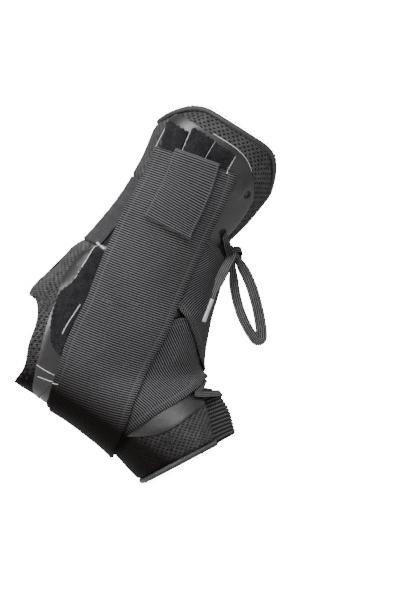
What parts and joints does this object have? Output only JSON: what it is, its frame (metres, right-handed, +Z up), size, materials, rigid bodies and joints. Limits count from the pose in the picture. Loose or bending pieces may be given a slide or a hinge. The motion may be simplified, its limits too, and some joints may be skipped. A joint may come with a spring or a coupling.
{
  "type": "ankle brace",
  "caption": "Lace-up soft ankle brace with figure-eight webbing straps, an open heel and an open toe, in the bent pose of a raised heel.",
  "frame": {"origin": "centre of the ankle joint inside the brace, the point that it is held by", "axes": "+Z up, +X towards the toes, +Y towards the lateral side of a left foot; the leg leans 32 degrees towards +X"},
  "size_m": [0.169, 0.0972, 0.2444],
  "materials": {
    "mesh": "padded open-hole mesh, matt",
    "binding": "satin edge binding",
    "facing": "smooth synthetic leather, half glossy",
    "pile": "brushed loop pile",
    "elastic": "ribbed elastic",
    "webbing": "cross-ribbed webbing",
    "tongue": "chunky ribbed knit",
    "lace": "flat woven lace",
    "eyelet": "black painted ring",
    "aglet": "clear film tip"
  },
  "bodies": {
    "root": {"mesh_boot_medial": "mesh", "facing_medial": "facing", "mesh_boot_lateral": "mesh", "facing_lateral": "facing", "back_elastic": "elastic", "pile_band_medial_1": "pile", "pile_band_medial_2": "pile", "pile_band_medial_3": "pile", "pile_patch_medial": "pile", "pile_band_lateral_1": "pile", "pile_band_lateral_2": "pile", "pile_band_lateral_3": "pile", "pile_patch_lateral": "pile", "knit_tongue": "tongue", "collar_binding": "binding", "toe_binding": "binding", "eyelet_medial_1": "eyelet", "eyelet_medial_2": "eyelet", "eyelet_medial_3": "eyelet", "eyelet_medial_4": "eyelet", "eyelet_medial_5": "eyelet", "eyelet_medial_6": "eyelet", "eyelet_lateral_1": "eyelet", "eyelet_lateral_2": "eyelet", "eyelet_lateral_3": "eyelet", "eyelet_lateral_4": "eyelet", "eyelet_lateral_5": "eyelet", "eyelet_lateral_6": "eyelet", "lace": "lace", "strap_inner": "webbing", "strap_outer": "webbing", "pull_tab_medial": "webbing", "pull_tab_lateral": "webbing", "lace_knot": "lace", "lace_loop_near": "lace", "lace_end_near": "lace", "aglet_near": "aglet", "lace_loop_far": "lace", "lace_end_far": "lace", "aglet_far": "aglet"}
  },
  "joints": []
}
